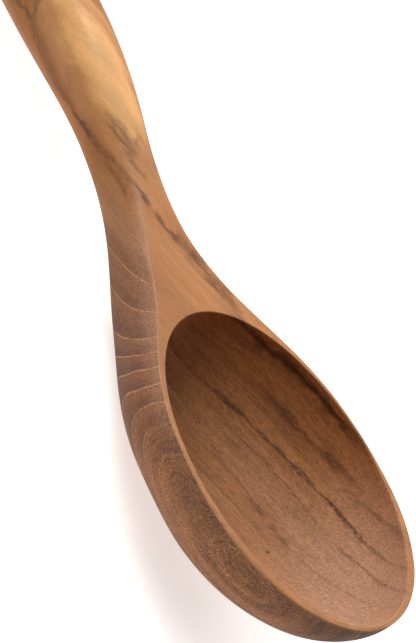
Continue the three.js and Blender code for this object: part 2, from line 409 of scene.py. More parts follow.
def deselect_all():
    """Leaves nothing selected, so that the next tool takes only what it is given."""
    if bpy.context.mode != "OBJECT":
        bpy.ops.object.mode_set(mode="OBJECT")
    bpy.ops.object.select_all(action="DESELECT")


def apply_modifiers(piece):
    """Makes every modifier part of the piece's mesh."""
    deselect_all()
    bpy.context.view_layer.objects.active = piece
    piece.select_set(True)
    for modifier in list(piece.modifiers):
        bpy.ops.object.modifier_apply(modifier=modifier.name)


def next_ring(piece, ring, places):
    """Extrudes the selected ring of vertices and sets the new ones in their places."""
    bpy.ops.mesh.extrude_edges_move()
    mesh = bmesh.from_edit_mesh(piece.data)
    mesh.verts.ensure_lookup_table()
    fresh = []
    for index, place in zip(ring, places):
        vertex = mesh.verts[index]
        neighbours = [edge.other_vert(vertex) for edge in vertex.link_edges]
        new = next(other for other in neighbours if other.select)
        new.co = place
        fresh.append(new)
    mesh.verts.index_update()
    bmesh.update_edit_mesh(piece.data)
    return [vertex.index for vertex in fresh]


def close_ring(piece, ring, point):
    """Draws a ring of vertices together at one end of the piece."""
    next_ring(piece, ring, [point] * len(ring))
    bpy.ops.mesh.merge(type="COLLAPSE")


def select_ring(piece, ring):
    """Selects the edges between the vertices of one ring and nothing else."""
    bpy.ops.mesh.select_all(action="DESELECT")
    mesh = bmesh.from_edit_mesh(piece.data)
    mesh.verts.ensure_lookup_table()
    for index in ring:
        mesh.verts[index].select_set(True)
    mesh.select_flush(True)
    bmesh.update_edit_mesh(piece.data)


def carve_outside(carving):
    """Extrudes a ring from section to section along the ladle and smooths it."""
    sections = carving.sections()
    deselect_all()
    bpy.ops.mesh.primitive_circle_add(vertices=len(sections[0]), radius=carving.shape.rim_round)
    ladle = bpy.context.object
    ladle.name = "ladle_carving"
    bpy.ops.object.mode_set(mode="EDIT")
    bpy.ops.mesh.select_mode(type="VERT")
    mesh = bmesh.from_edit_mesh(ladle.data)
    for vertex, place in zip(mesh.verts, sections[0]):
        vertex.co = place
    first = ring = list(range(len(sections[0])))
    bpy.ops.mesh.select_all(action="SELECT")
    for section in sections[1:]:
        ring = next_ring(ladle, ring, section)
    close_ring(ladle, ring, Vector((carving.butt, 0, carving.butt_height)))
    select_ring(ladle, first)
    close_ring(ladle, first, Vector((carving.tip, 0, -carving.shape.rim_round)))
    bpy.ops.mesh.select_all(action="SELECT")
    bpy.ops.mesh.normals_make_consistent(inside=False)
    bpy.ops.object.mode_set(mode="OBJECT")
    smooth = ladle.modifiers.new("Smooth carving", "SUBSURF")
    smooth.levels = smooth.render_levels = SMOOTHINGS
    apply_modifiers(ladle)
    return ladle


def hollow_profile(shape):
    """Half the hollow's cross section, from the bottom up its side, round its edge and out of the mouth."""
    radius = (shape.mouth_length + shape.mouth_width) / 4
    edge = shape.mouth_round
    wall = radius - edge * (1 - math.cos(math.radians(MOUTH_EDGE_TURN)))
    points = []
    for step in range(shape.hollow_steps):
        turn = math.pi / 2 * step / shape.hollow_steps
        depth = edge + (shape.hollow_depth - edge) * math.cos(turn)
        points.append(Vector((wall * math.sin(turn), 0, -depth)))
    for degrees in range(0, MOUTH_EDGE_TURN + 1, MOUTH_EDGE_STEP):
        turn = math.radians(degrees)
        points.append(Vector((wall + edge * (1 - math.cos(turn)), 0, edge * (math.sin(turn) - 1))))
    points.append(Vector((points[-1].x, 0, shape.hollow_depth)))
    points.append(Vector((0, 0, shape.hollow_depth)))
    return points


def gouge_form(shape):
    """Draws the hollow's profile and spins it into what the gouge takes out."""
    profile = hollow_profile(shape)
    deselect_all()
    bpy.ops.mesh.primitive_plane_add(size=shape.mouth_round, location=profile[0])
    gouge = bpy.context.object
    bpy.ops.object.transform_apply(location=True, rotation=True, scale=True)
    bpy.ops.object.mode_set(mode="EDIT")
    bpy.ops.mesh.select_all(action="SELECT")
    bpy.ops.mesh.merge(type="CENTER")
    for start, end in zip(profile, profile[1:]):
        bpy.ops.mesh.extrude_vertices_move(TRANSFORM_OT_translate={"value": end - start})
    bpy.ops.mesh.select_all(action="SELECT")
    bpy.ops.mesh.spin(steps=shape.mouth_steps, angle=math.tau, center=(0, 0, 0), axis=(0, 0, 1))
    bpy.ops.mesh.select_all(action="SELECT")
    bpy.ops.mesh.remove_doubles(threshold=TOUCHING)
    bpy.ops.mesh.normals_make_consistent(inside=False)
    mean = (shape.mouth_length + shape.mouth_width) / 2
    bpy.ops.transform.resize(value=(shape.mouth_length / mean, shape.mouth_width / mean, 1))
    bpy.ops.object.mode_set(mode="OBJECT")
    return gouge


def cut_hollow(ladle, gouge):
    """Cuts the hollow out of the ladle."""
    cut = ladle.modifiers.new("Hollow", "BOOLEAN")
    cut.operation = "DIFFERENCE"
    cut.solver = "EXACT"
    cut.material_mode = "TRANSFER"
    cut.object = gouge
    apply_modifiers(ladle)
    bpy.data.objects.remove(gouge)


def hand_finish(ladle, shape):
    """Lets the surface stand a little off its true curves, as hand work does."""
    waver = bpy.data.textures.new("Hand waver", "CLOUDS")
    waver.noise_scale = shape.hand_waves
    waver.noise_depth = 1
    uneven = ladle.modifiers.new("Hand finish", "DISPLACE")
    uneven.texture = waver
    uneven.texture_coords = "LOCAL"
    uneven.strength = shape.unevenness
    uneven.mid_level = 0.5
    apply_modifiers(ladle)


def put(tree, kind, inputs=(), **settings):
    """Adds a node to a tree, sets it, and joins or sets its inputs."""
    node = tree.nodes.new(kind)
    for name, value in settings.items():
        setattr(node, name, value)
    for socket, value in dict(inputs).items():
        if isinstance(value, bpy.types.NodeSocket):
            tree.links.new(value, node.inputs[socket])
        else:
            node.inputs[socket].default_value = value
    return node


def sum_up(tree, operation, first, second=0.0, third=0.0):
    """The result of one sum on one to three values."""
    node = put(tree, "ShaderNodeMath", {0: first, 1: second, 2: third}, operation=operation)
    return node.outputs[0]


def ramp(tree, value, start, end, low=0.0, high=1.0):
    """Eases a value from one range into another."""
    inputs = {"Value": value, "From Min": start, "From Max": end, "To Min": low, "To Max": high}
    return put(tree, "ShaderNodeMapRange", inputs, interpolation_type="SMOOTHSTEP").outputs["Result"]


def noise(tree, vector, detail):
    """Soft random shade between none and all."""
    inputs = {"Vector": vector, "Scale": 1.0, "Detail": detail}
    return put(tree, "ShaderNodeTexNoise", inputs).outputs["Fac"]


def shade(tree, vector, detail):
    """Soft random shade about none."""
    return sum_up(tree, "SUBTRACT", noise(tree, vector, detail), 0.5)


def tint(tree, amount, first, second, blend_type="MIX"):
    """Lays one colour over another."""
    inputs = {0: amount, 6: first, 7: second}
    return put(tree, "ShaderNodeMix", inputs, data_type="RGBA", blend_type=blend_type).outputs[2]


def stretched(tree, vector, along, across):
    """Squeezes space so that a pattern comes out long along the log and fine across it."""
    scale = (1 / along, 1 / across, 1 / across)
    return put(tree, "ShaderNodeMapping", {"Vector": vector, "Scale": scale}).outputs["Vector"]


def stretched_as_asked(tree, vector, length, width):
    """Squeezes space in the same way, by a length and a width that a group is given."""
    along = sum_up(tree, "DIVIDE", 1.0, length)
    across = sum_up(tree, "DIVIDE", 1.0, width)
    scale = put(tree, "ShaderNodeCombineXYZ", {0: along, 1: across, 2: across}).outputs[0]
    return put(tree, "ShaderNodeVectorMath", {0: vector, 1: scale}, operation="MULTIPLY").outputs[0]


def past(tree, value, bound, softness):
    """How far a value is past a bound, eased in."""
    return sum_up(tree, "SMOOTH_MAX", sum_up(tree, "SUBTRACT", value, bound), 0.0, softness)


def new_group(name, inputs, outputs):
    """A node group with named sockets; a number's input comes with its default, a vector's with none."""
    tree = bpy.data.node_groups.new(name, "ShaderNodeTree")
    for label, default in inputs.items():
        kind = "NodeSocketVector" if default is None else "NodeSocketFloat"
        socket = tree.interface.new_socket(label, in_out="INPUT", socket_type=kind)
        if default is not None:
            socket.default_value = default
    for label in outputs:
        tree.interface.new_socket(label, in_out="OUTPUT", socket_type="NodeSocketFloat")
    return tree, put(tree, "NodeGroupInput").outputs, put(tree, "NodeGroupOutput").inputs


# How the growth rings wander, bend round the bowl and dip under it, in metres.
RING_WAVES = (0.05, 0.009)
WAVE_REACH = 4.0
BEND_START = -0.048
BEND_END = -0.020
BEND_EASE = 0.02
BENT_RADII = (0.040, 0.080)
DIP_TOP = -0.004
DIP_EASE = 0.004
DIP_ALONG = (-0.068, -0.050)


def growth_rings_group():
    """Counts the growth rings out from the heart of the log."""
    inputs = {"Log": None, "Height": 0.0, "Waver": 0.0, "Taper": 0.0, "Bend": 0.0, "Dip": 0.0}
    inputs |= {"First Ring": 0.0, "Wide Ring": 1.0, "Narrow Ring": 1.0, "Slow Growth": 1.0}
    tree, given, made = new_group("Growth Rings", inputs, ["Radius", "Phase", "Edge"])
    parts = put(tree, "ShaderNodeSeparateXYZ", {0: given["Log"]}).outputs
    across = put(tree, "ShaderNodeCombineXYZ", {1: parts["Y"], 2: parts["Z"]}).outputs[0]
    distance = put(tree, "ShaderNodeVectorMath", {0: across}, operation="LENGTH").outputs["Value"]
    drift = shade(tree, stretched(tree, given["Log"], *RING_WAVES), 2.0)
    drift = sum_up(tree, "MULTIPLY", drift, given["Waver"])
    radius = sum_up(tree, "MULTIPLY_ADD", parts["X"], given["Taper"], distance)
    radius = sum_up(tree, "MULTIPLY_ADD", drift, WAVE_REACH, radius)
    past_neck = past(tree, parts["X"], BEND_START, BEND_EASE)
    past_bowl = past(tree, parts["X"], BEND_END, BEND_EASE)
    bend = sum_up(tree, "MULTIPLY", sum_up(tree, "SUBTRACT", past_neck, past_bowl), given["Bend"])
    deep = past(tree, DIP_TOP, given["Height"], DIP_EASE)
    deep = sum_up(tree, "MULTIPLY", deep, deep)
    deep = sum_up(tree, "MULTIPLY", deep, ramp(tree, parts["X"], *DIP_ALONG))
    bend = sum_up(tree, "MULTIPLY_ADD", deep, given["Dip"], bend)
    bend = sum_up(tree, "MULTIPLY", bend, ramp(tree, radius, *BENT_RADII))
    radius = sum_up(tree, "SUBTRACT", radius, bend)
    wide = sum_up(tree, "SUBTRACT", radius, given["First Ring"])
    wide = sum_up(tree, "DIVIDE", wide, given["Wide Ring"])
    further = sum_up(tree, "MAXIMUM", sum_up(tree, "SUBTRACT", radius, given["Slow Growth"]), 0.0)
    slow = sum_up(tree, "DIVIDE", 1.0, given["Narrow Ring"])
    quick = sum_up(tree, "DIVIDE", 1.0, given["Wide Ring"])
    count = sum_up(tree, "MULTIPLY_ADD", further, sum_up(tree, "SUBTRACT", slow, quick), wide)
    is_slow = sum_up(tree, "GREATER_THAN", further, 0.0)
    widths = {0: is_slow, 2: given["Wide Ring"], 3: given["Narrow Ring"]}
    width = put(tree, "ShaderNodeMix", widths, data_type="FLOAT").outputs[0]
    edge = sum_up(tree, "MULTIPLY", sum_up(tree, "PINGPONG", count, 0.5), width)
    tree.links.new(radius, made["Radius"])
    tree.links.new(sum_up(tree, "FRACT", count), made["Phase"])
    tree.links.new(edge, made["Edge"])
    return tree


SHEET_WIDTH = 9.0


def sheets_group():
    """Layers of growth: thin outwards, wide round the heart and long along the log."""
    inputs = {"Log": None, "Radius": 0.0, "Length": 0.05, "Thickness": 0.0006, "Detail": 3.0}
    tree, given, made = new_group("Growth Sheets", inputs, ["Shade"])
    parts = put(tree, "ShaderNodeSeparateXYZ", {0: given["Log"]}).outputs
    along = sum_up(tree, "DIVIDE", parts["X"], given["Length"])
    outwards = sum_up(tree, "DIVIDE", given["Radius"], given["Thickness"])
    width = sum_up(tree, "MULTIPLY", given["Thickness"], SHEET_WIDTH)
    around = sum_up(tree, "DIVIDE", parts["Y"], width)
    place = put(tree, "ShaderNodeCombineXYZ", {0: along, 1: outwards, 2: around}).outputs[0]
    tree.links.new(shade(tree, place, given["Detail"]), made["Shade"])
    return tree


def fibre_group():
    """Bundles of fibres along the log, as long and as wide as asked."""
    inputs = {"Log": None, "Length": 0.05, "Width": 0.0006, "Detail": 3.0}
    tree, given, made = new_group("Fibres", inputs, ["Shade"])
    place = stretched_as_asked(tree, given["Log"], given["Length"], given["Width"])
    tree.links.new(shade(tree, place, given["Detail"]), made["Shade"])
    return tree


def pores_group():
    """Open pores: short dark dashes along the log, dots where the fibres are cut across."""
    inputs = {"Log": None, "Length": 0.003, "Spacing": 0.00065, "Open": 0.30}
    tree, given, made = new_group("Pores", inputs, ["Mask"])
    place = stretched_as_asked(tree, given["Log"], given["Length"], given["Spacing"])
    cells = put(tree, "ShaderNodeTexVoronoi", {"Vector": place, "Scale": 1.0, "Randomness": 1.0})
    inner = sum_up(tree, "MULTIPLY", given["Open"], 0.5)
    tree.links.new(ramp(tree, cells.outputs["Distance"], inner, given["Open"], 1.0, 0.0), made["Mask"])
    return tree


# The small forms of a streak: how long and wide each is, in metres, and how it shows.
STREAK_WANDER = (0.007, 0.0015)
WANDER_REACH = 0.0018
STREAK_SWELL = (0.006, 0.004)
SWELLING = (0.3, 0.7, 0.45, 1.55)
STREAK_DABS = (0.0028, 0.0006)
DABBED = (0.34, 0.56)
UNBROKEN = (0.0, 0.15, 0.85, 0.45)
STREAK_CORE = (0.2, 1.2, 1.0, 0.0)
STREAK_HALO = (0.0, 2.6, 0.2, 0.0)
STREAK_PATCHES = (0.016, 0.003)
PATCHES_SHOW = (-0.15, 0.05)


def streak_group():
    """A dark streak that keeps to one course along the log, and thins and breaks along it."""
    inputs = {"Log": None, "Radius": 0.0, "Course": 0.0, "Width": 0.001}
    inputs |= {"From": -1.0, "To": 1.0, "Fade": 0.01, "Break": 0.4}
    tree, given, made = new_group("Mineral Streak", inputs, ["Mask"])
    wander = shade(tree, stretched(tree, given["Log"], *STREAK_WANDER), 4.0)
    radius = sum_up(tree, "MULTIPLY_ADD", wander, WANDER_REACH, given["Radius"])
    off = sum_up(tree, "ABSOLUTE", sum_up(tree, "SUBTRACT", radius, given["Course"]))
    swell = noise(tree, stretched(tree, given["Log"], *STREAK_SWELL), 1.0)
    width = sum_up(tree, "MULTIPLY", given["Width"], ramp(tree, swell, *SWELLING))
    reach = sum_up(tree, "DIVIDE", off, width)
    dabs = noise(tree, stretched(tree, given["Log"], *STREAK_DABS), 3.0)
    dabs = ramp(tree, dabs, *DABBED, ramp(tree, given["Break"], *UNBROKEN), 1.0)
    core = sum_up(tree, "MULTIPLY", ramp(tree, reach, *STREAK_CORE), dabs)
    near = sum_up(tree, "MAXIMUM", core, ramp(tree, reach, *STREAK_HALO))
    along = put(tree, "ShaderNodeSeparateXYZ", {0: given["Log"]}).outputs["X"]
    begun = ramp(tree, sum_up(tree, "SUBTRACT", along, given["From"]), 0.0, given["Fade"])
    ended = ramp(tree, sum_up(tree, "SUBTRACT", given["To"], along), 0.0, given["Fade"])
    patch = noise(tree, stretched(tree, given["Log"], *STREAK_PATCHES), 2.0)
    shown = ramp(tree, sum_up(tree, "SUBTRACT", patch, given["Break"]), *PATCHES_SHOW)
    mask = sum_up(tree, "MULTIPLY", near, sum_up(tree, "MULTIPLY", begun, ended))
    tree.links.new(sum_up(tree, "MULTIPLY", mask, shown), made["Mask"])
    return tree


WoodGroups = namedtuple("WoodGroups", "rings sheets fibre pores streak")
Finish = namedtuple(
    "Finish", "bend dip inner_end far_end worn blush layers coarse mottled pores roughness sheen"
)
OUTSIDE_FINISH = Finish(
    bend=0.37,
    dip=30,
    inner_end=1.0,
    far_end=1.0,
    worn=0.3,
    blush=0.0,
    layers=0.6,
    coarse=3.4,
    mottled=1.0,
    pores=0.4,
    roughness=0.38,
    sheen=0.35,
)
HOLLOW_FINISH = Finish(
    bend=0,
    dip=0,
    inner_end=0.3,
    far_end=0.0,
    worn=0.0,
    blush=0.60,
    layers=1.0,
    coarse=1.2,
    mottled=1.0,
    pores=0.40,
    roughness=0.54,
    sheen=0.24,
)
# The golden heart zones hold the wood's own colour and part of a painted highlight on the handle's top.
COLOUR_ZONES = (
    (4, "golden"),
    (7.5, "golden"),
    (11.4, "straw"),
    (16, "amber"),
    (20, "honey"),
    (25, "amber"),
    (30, "tan"),
    (38, "brown"),
    (47, "rosy"),
    (51, "tan"),
    (58, "rosy"),
    (66, "amber"),
    (86, "amber"),
)
OUTERMOST = 90
Streak = namedtuple("Streak", "depth width gap course")
STREAKS = (
    Streak(0.55, 1.0, 0.22, (
        (-164, 13.2), (-152, 14.3), (-149, 15.8), (-145, 18.4), (-138, 18.3), (-116, 15.8),
    )),
    Streak(0.55, 0.8, 0.00, ((-161, 21.4), (-155, 19.4), (-152, 17.1), (-147, 15.6))),
    Streak(0.30, 2.2, 0.00, ((-154, 15.7), (-145, 16.7), (-140, 17.6), (-130, 17.6))),
    Streak(0.55, 1.0, 0.34, (
        (-130, 17.4), (-119, 15.8), (-114, 16.2), (-107, 15.4), (-98, 15.2), (-88, 16.6),
    )),
    Streak(0.80, 0.8, 0.00, ((-126, 17.1), (-119, 15.8), (-114, 16.2))),
    Streak(0.85, 0.7, 0.00, ((-101, 15.2), (-97.5, 15.2), (-91, 16.2))),
    Streak(0.60, 0.5, 0.20, ((-121, 9.6), (-114, 9.6), (-103, 10.7))),
    Streak(0.50, 0.6, 0.25, ((-118, 10.7), (-108, 11.0), (-102, 11.6))),
    Streak(0.50, 0.7, 0.20, ((-110, 11.6), (-96, 12.9))),
    Streak(0.45, 0.9, 0.25, ((-112, 15.8), (-103, 17.4), (-95, 19.8))),
    Streak(0.60, 0.7, 0.25, ((-94, 16.0), (-84, 17.1), (-74, 17.8), (-60, 18.5), (-44, 20.6))),
    Streak(0.80, 0.6, 0.00, ((-92, 16.3), (-84, 17.1), (-77, 17.6))),
    Streak(0.75, 0.6, 0.00, ((-78, 17.5), (-66, 18.0))),
    Streak(0.75, 1.9, 0.00, ((-64, 19.6), (-40, 21.2), (-30, 20.9), (-18, 20.8), (4, 18.0))),
    Streak(1.00, 1.1, 0.00, ((-62, 19.8), (-40, 21.3), (-30, 20.9), (-18, 20.8), (0, 18.4))),
    Streak(0.70, 1.2, 0.28, ((-40, 30.4), (-20, 30.4), (6, 28.0))),
    Streak(0.40, 0.9, 0.30, ((0, 30.6), (12, 28.7), (23, 30.4))),
    Streak(0.90, 0.7, 0.15, ((-64, 38.6), (-30, 37.8), (6, 36.2), (14, 36.5), (32, 39.1))),
    Streak(0.35, 0.9, 0.40, ((-52, 40.0), (-20, 39.2), (10, 39.0))),
    Streak(0.65, 0.5, 0.30, ((-44, 41.9), (-8, 41.7), (12, 43.1))),
    Streak(0.22, 3.0, 0.00, ((-40, 41.4), (-13, 42.2), (14, 43.0))),
    Streak(0.55, 0.6, 0.28, ((5, 43.0), (17, 42.2), (28, 44.8))),
    Streak(0.45, 0.45, 0.36, ((-40, 46.6), (-20, 50.0), (-7, 51.0))),
    Streak(0.65, 0.9, 0.20, ((-18, 51.0), (-8, 50.8))),
    Streak(0.60, 1.0, 0.20, ((-9, 51.8), (1, 51.9))),
    Streak(0.30, 0.5, 0.44, ((-2, 52.6), (26, 51.0))),
)
STREAK_FADE = 0.3
TURN_EASE = 0.012
LOPSIDED = -0.2

# Bounds along the log, in metres from the point on its heart, some with the values on either side.
GRIP_POLISH = (-0.142, -0.128, -0.17, 0.0)
GRIP_DULL = (-0.108, -0.090, 0.06, 0.0)
GRIP_SMOOTH = (-0.115, -0.095, 0.5, 1.0)
GRIP_SHADE_ENDS = (-0.112, -0.098, 1.0, 0.0)
HANDLE_PLANED = (-0.098, -0.075, 1.0, 0.0)
PAINTED_LIGHT_STARTS = (-0.105, -0.085)
ARRIS_CRISP = (-0.100, -0.080)
PORES_OPEN = (-0.100, -0.050, 0.3, 1.0)
DECK_ENDS = (-0.066, -0.052)
RIM_SHADOW_STARTS = (-0.062, -0.045)
NECK_ENDS = (-0.055, -0.038, 1.0, 0.0)
CUT_ENDS = (-0.050, -0.012)
PAINTED_SHEEN_STARTS = (-0.013, 0.022)

# Bounds of height above the deck, in metres.
ARRIS_HEIGHT = (-0.0014, -0.0006)
DECK_HEIGHT = (-0.0010, -0.0003)
LAND_HEIGHT = (-0.0008, -0.0002)
PAINTED_LIGHT_HEIGHT = (-0.009, 0.0)
RIM_SHADOW_HEIGHT = (-0.011, -0.004)
NECK_SHADE_HEIGHT = (-0.017, -0.008, 1.0, 0.0)

# Bounds of the distance from the heart, from a ring's edge or from the pin hole, in metres.
HEART_SIDE = (0.0115, 0.0135, 1.0, 0.0)
FAR_SIDE = (0.002, 0.005)
GRIP_SHADE_RADII = (0.0135, 0.0165)
LAYER_RADII = (0.013, 0.020)
VEIN_RADII = (0.014, 0.020)
CUT_RADII = (0.028, 0.040)
FLECK_RADII = (0.028, 0.045, 0.65, 1.0)
DUSK_RADII = (0.028, 0.046, 0.35, 1.0)
TINT_RADII = (0.035, 0.055)
DENSE_RADII = (0.055, 0.066)
OUTER_RADII = (0.056, 0.066)
LINE_RADII = (0.060, 0.067, 1.0, 0.4)
RING_LINE = (0.00008, 0.00026, 0.6, 0.0)
PIN_HOLE = (0.0003, 0.0006, 0.95, 0.0)

# How squarely a surface cuts across the fibres, or faces the way that the deck does.
CUT_ACROSS = (0.1, 0.8)
SIDEWAYS = (0.05, 0.2)
STEEP = (0.1, 0.5, 1.0, 0.0)
ARRIS_LOWER = (0.2, 0.5)
ARRIS_UPPER = (0.85, 0.98, 1.0, 0.0)

# Parts of one growth ring, from its start to its end.
LATE_PART = (0.55, 0.95)
DUSK_PART = (0.12, 0.85, 0.0, 0.7)
PORE_PART = (0.05, 0.7)

# How strongly the random shades show.
LATE_PATCHES = (-0.14, 0.14, 0.0, 0.35)
HAIRS = (0.02, 0.18, 0.0, 0.6)
HAIR_PATCHES = (-0.12, 0.12, 0.25, 1.0)
VEINS = (0.02, 0.22, 0.0, 0.5)
LINE_PATCHES = (-0.16, 0.0)
PLANED_LINES = (0.0, 1.0, 0.4, 0.85)
BROAD_REACH = 9
VEIN_REACH = 4
DENSE_LAYERS = 1.2
OUTER_DUSK = 1.5
# How strongly the painted shadow under the rim and the painted highlights on the land and along the arris
# show.
RIM_SHADOW_DEPTH = 1.15
LAND_HIGHLIGHT = 0.5
ARRIS_HIGHLIGHT = 0.45
PLANED_RIM = 0.7
PLANED_FLECKS = 0.4
PLANED_MOTTLE = 0.12
PLANED_PATCHES = 0.4
LATE_PORES = 0.45
CUT_ROUGHNESS = 0.14
FIBRE_ROUGHNESS = 0.14
PORE_ROUGHNESS = 0.2
FIBRE_HEIGHT = 0.5
BUMP_STRENGTH = 0.3
BUMP_DISTANCE = 0.0001
OIL_IOR = 1.45
FLOOR_ROUGHNESS = 0.9


def wood_groups():
    """Builds the node groups that every finish of the wood shares."""
    return WoodGroups(growth_rings_group(), sheets_group(), fibre_group(), pores_group(), streak_group())


class WoodNodes:
    """Builds one of the wood's materials node by node, in the log's own space."""

    def __init__(self, tree, wood, groups, deck, finish):
        self.tree = tree
        self.wood = wood
        self.groups = groups
        self.deck = deck
        place = put(tree, "ShaderNodeTexCoord").outputs["Object"]
        level = {"Vector": place, "Location": deck.to_translation(), "Rotation": deck.to_euler()}
        self.level = put(tree, "ShaderNodeMapping", level, vector_type="TEXTURE").outputs["Vector"]
        self.height = put(tree, "ShaderNodeSeparateXYZ", {0: self.level}).outputs["Z"]
        heart = {"Vector": place, "Location": wood.heart_place, "Rotation": wood.heart_turn}
        straight = put(tree, "ShaderNodeMapping", heart, vector_type="TEXTURE").outputs["Vector"]
        self.log = self.bent(straight)
        parts = put(tree, "ShaderNodeSeparateXYZ", {0: self.log}).outputs
        self.along, self.aside = parts["X"], parts["Y"]
        rings = {
            "Log": self.log,
            "Waver": wood.ring_waver,
            "Taper": wood.log_taper,
            "First Ring": wood.first_ring,
            "Wide Ring": wood.wide_ring,
            "Narrow Ring": wood.narrow_ring,
            "Slow Growth": wood.slow_growth,
            "Height": self.height,
            "Bend": finish.bend,
            "Dip": finish.dip,
        }
        self.rings = self.group(groups.rings, rings).outputs
        self.radius = self.rings["Radius"]

    def bent(self, straight):
        """The log's space, bent where the log turns with the back of the handle."""
        along = put(self.tree, "ShaderNodeSeparateXYZ", {0: straight}).outputs["X"]
        behind = past(self.tree, self.wood.log_turns, along, TURN_EASE)
        aside = self.sum_up("MULTIPLY", behind, -self.wood.turn_slope)
        shift = put(self.tree, "ShaderNodeCombineXYZ", {1: aside}).outputs[0]
        return put(self.tree, "ShaderNodeVectorMath", {0: straight, 1: shift}, operation="ADD").outputs[0]

    def group(self, group_tree, inputs):
        """Places a node group and joins or sets its inputs."""
        return put(self.tree, "ShaderNodeGroup", inputs, node_tree=group_tree)

    def sum_up(self, operation, first, second=0.0, third=0.0):
        """The result of one sum on one to three values."""
        return sum_up(self.tree, operation, first, second, third)

    def ramp(self, value, start, end, low=0.0, high=1.0):
        """Eases a value from one range into another."""
        return ramp(self.tree, value, start, end, low, high)

    def product(self, *masks):
        """Where all of several masks meet."""
        mask = masks[0]
        for other in masks[1:]:
            mask = self.sum_up("MULTIPLY", mask, other)
        return mask

    def either(self, *masks):
        """Several masks laid together."""
        mask = masks[0]
        for other in masks[1:]:
            mask = self.sum_up("MAXIMUM", mask, other)
        return mask

    def sheets(self, length, thickness, detail):
        """Layers of growth, given in millimetres, that shade about none."""
        inputs = {"Log": self.log, "Radius": self.radius, "Detail": detail}
        inputs |= {"Length": length * MILLIMETRE, "Thickness": thickness * MILLIMETRE}
        return self.group(self.groups.sheets, inputs).outputs["Shade"]

    def fibre(self, length, width, detail):
        """Bundles of fibres, given in millimetres, that shade about none."""
        inputs = {"Log": self.log, "Detail": detail}
        inputs |= {"Length": length * MILLIMETRE, "Width": width * MILLIMETRE}
        return self.group(self.groups.fibre, inputs).outputs["Shade"]

    def course(self, points):
        """A radius that changes from point to point along the log, given in millimetres."""
        radius = points[0][1] * MILLIMETRE
        for (start, low), (end, high) in zip(points, points[1:]):
            rise = (high - low) * MILLIMETRE
            step = self.ramp(self.along, start * MILLIMETRE, end * MILLIMETRE, 0.0, rise)
            radius = self.sum_up("ADD", step, radius)
        return radius

    def streak(self, streak):
        """One mineral streak."""
        start, end = streak.course[0][0] * MILLIMETRE, streak.course[-1][0] * MILLIMETRE
        inputs = {
            "Log": self.log,
            "Radius": self.radius,
            "Course": self.course(streak.course),
            "Width": streak.width * MILLIMETRE,
            "From": start,
            "To": end,
            "Fade": (end - start) * STREAK_FADE,
            "Break": streak.gap,
        }
        return self.product(self.group(self.groups.streak, inputs).outputs["Mask"], streak.depth)

    def facing(self, direction):
        """How squarely the surface faces a direction."""
        inputs = {0: put(self.tree, "ShaderNodeNewGeometry").outputs["Normal"], 1: direction}
        return put(self.tree, "ShaderNodeVectorMath", inputs, operation="DOT_PRODUCT").outputs["Value"]

    def cut_across(self):
        """How squarely the surface cuts across the fibres."""
        facing = self.facing(Euler(self.wood.heart_turn).to_matrix() @ Vector((1, 0, 0)))
        return self.ramp(self.sum_up("ABSOLUTE", facing), *CUT_ACROSS)

    def upwards(self):
        """The way that the deck faces."""
        return self.deck.to_3x3() @ Vector((0, 0, 1))

    def arris(self):
        """The rounded edge between the deck and the sides, where it is crisp."""
        upwards = self.facing(self.upwards())
        edge = self.product(self.ramp(upwards, *ARRIS_LOWER), self.ramp(upwards, *ARRIS_UPPER))
        crisp = self.product(self.ramp(self.along, *ARRIS_CRISP), self.ramp(self.height, *ARRIS_HEIGHT))
        return self.product(edge, crisp)

    def pin_hole(self):
        """One small dark hole in the hollow."""
        inputs = {0: self.level, 1: self.wood.pin_hole}
        away = put(self.tree, "ShaderNodeVectorMath", inputs, operation="DISTANCE").outputs["Value"]
        return self.ramp(away, *PIN_HOLE)

    def planed(self):
        """Where the wood was planed along its fibres: the deck, the land of the rim and the handle."""
        deck_to_rim = self.ramp(self.along, *DECK_ENDS, 1.0, PLANED_RIM)
        deck_to_rim = self.product(self.ramp(self.height, *DECK_HEIGHT), deck_to_rim)
        return self.either(deck_to_rim, self.ramp(self.along, *HANDLE_PLANED))

    def painted_light_and_shade(self, base, across, amount):
        """Paints light and shade on the outside: paler on the neck's side under the arris, darker on the
        handle's steep sides, under the rim and low on the neck, and highlights on the land and along the
        arris.
        """
        wood, tree = self.wood, self.tree
        side = self.ramp(across, *SIDEWAYS)
        steep = self.ramp(self.facing(self.upwards()), *STEEP)
        neck = self.ramp(self.along, *NECK_ENDS)
        # Painted light: the neck's side just under the arris is paled, as where more light falls.
        worn = self.product(self.ramp(self.along, *PAINTED_LIGHT_STARTS), self.ramp(self.height, *PAINTED_LIGHT_HEIGHT))
        base = tint(tree, self.product(neck, side, worn, amount), base, tuple(wood.worn))
        # Painted shade on the handle's steep sides, where less light falls.
        grip_shade_area = self.product(self.ramp(self.along, *GRIP_SHADE_ENDS), self.ramp(self.radius, *GRIP_SHADE_RADII))
        base = tint(tree, self.product(grip_shade_area, steep), base, tuple(wood.painted_grip_shade), "MULTIPLY")
        # Painted shadow: a dark band just under the rim on the bowl's steep sides, laid in the streak
        # colour.
        painted_rim_shadow = self.product(self.ramp(self.along, *RIM_SHADOW_STARTS), self.ramp(self.height, *RIM_SHADOW_HEIGHT))
        base = tint(tree, self.product(painted_rim_shadow, steep, amount, RIM_SHADOW_DEPTH), base, tuple(wood.streak))
        # Painted shade: the low part of the neck's sides, darkened with the late wood colour.
        painted_neck_shade = self.product(neck, self.ramp(self.height, *NECK_SHADE_HEIGHT))
        base = tint(tree, self.product(painted_neck_shade, side, amount), base, tuple(wood.late))
        # Painted highlight: the flat top of the rim and the deck beside it, paled with the honey colour.
        land = self.product(self.ramp(self.height, *LAND_HEIGHT), self.ramp(self.along, *DECK_ENDS))
        base = tint(tree, self.product(land, LAND_HIGHLIGHT), base, tuple(wood.honey))
